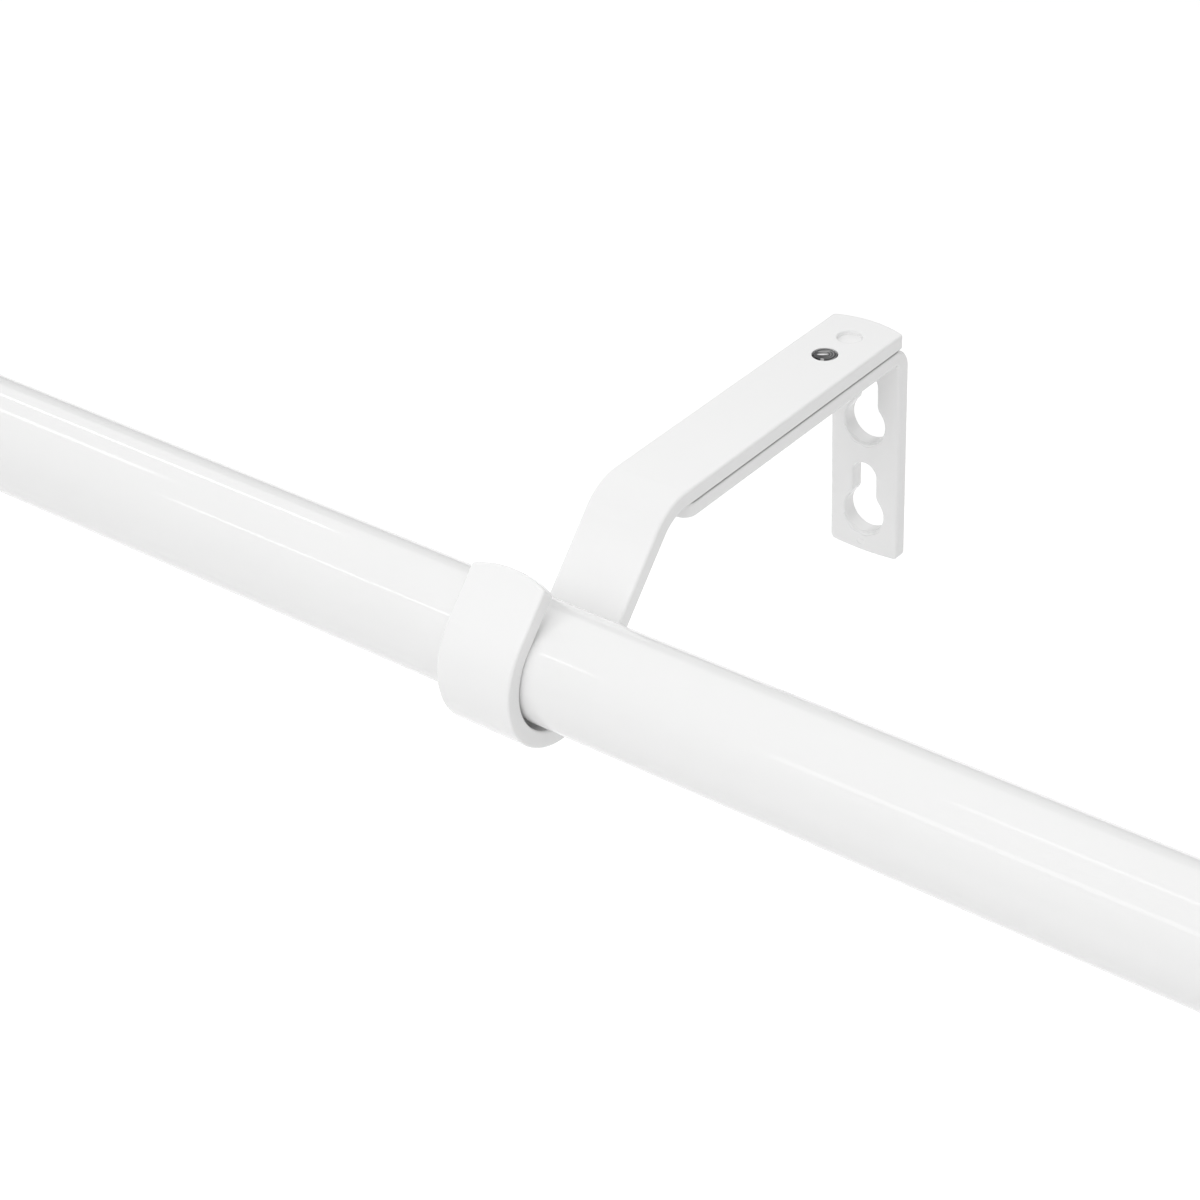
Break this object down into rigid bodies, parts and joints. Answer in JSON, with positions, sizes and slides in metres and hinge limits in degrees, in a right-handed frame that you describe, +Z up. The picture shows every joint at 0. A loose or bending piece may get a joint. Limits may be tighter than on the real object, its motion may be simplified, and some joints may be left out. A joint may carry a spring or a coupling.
{
  "type": "curtain rod",
  "caption": "Straight telescoping curtain rod with plain round end-cap finials, held in the open hooks of flat-bar wall brackets that slide to set its distance from the wall.",
  "frame": {"origin": "middle of the left bracket's keyhole pair, on the face that lies against the wall", "axes": "+X along the rod to the end that extends, +Y into the wall, +Z up"},
  "size_m": [0.7694, 0.1469, 0.0641],
  "materials": {
    "bracket_paint": "thick gloss white paint",
    "rod_paint": "gloss white paint",
    "finial_paint": "gloss white paint",
    "screw_steel": "dark plain steel",
    "plug_plastic": "matt white plastic"
  },
  "bodies": {
    "wall_brackets": {"left_wall_bracket": "bracket_paint", "right_wall_bracket": "bracket_paint"},
    "left_arm_and_rod": {"left_hook_arm": "bracket_paint", "left_clamp_screw": "screw_steel", "left_rod_screw": "screw_steel", "outer_tube": "rod_paint", "left_finial_plug": "plug_plastic", "left_finial": "finial_paint"},
    "right_arm": {"right_hook_arm": "bracket_paint", "right_clamp_screw": "screw_steel", "right_rod_screw": "screw_steel"},
    "rod_extension": {"inner_tube": "rod_paint", "right_finial_plug": "plug_plastic", "right_finial": "finial_paint"}
  },
  "joints": [
    {"name": "left_projection", "type": "slide", "parent": "wall_brackets", "child": "left_arm_and_rod", "axis": [0, -1, 0], "range_m": [0, 0.048]},
    {"name": "right_projection", "type": "slide", "parent": "wall_brackets", "child": "right_arm", "axis": [0, -1, 0], "range_m": [0, 0.048]},
    {"name": "rod_telescope", "type": "slide", "parent": "left_arm_and_rod", "child": "rod_extension", "axis": [1, 0, 0], "range_m": [0, 0.508]}
  ],
  "couplings": [
    {"joint": "right_projection", "follows": "left_projection", "ratio": 1}
  ]
}
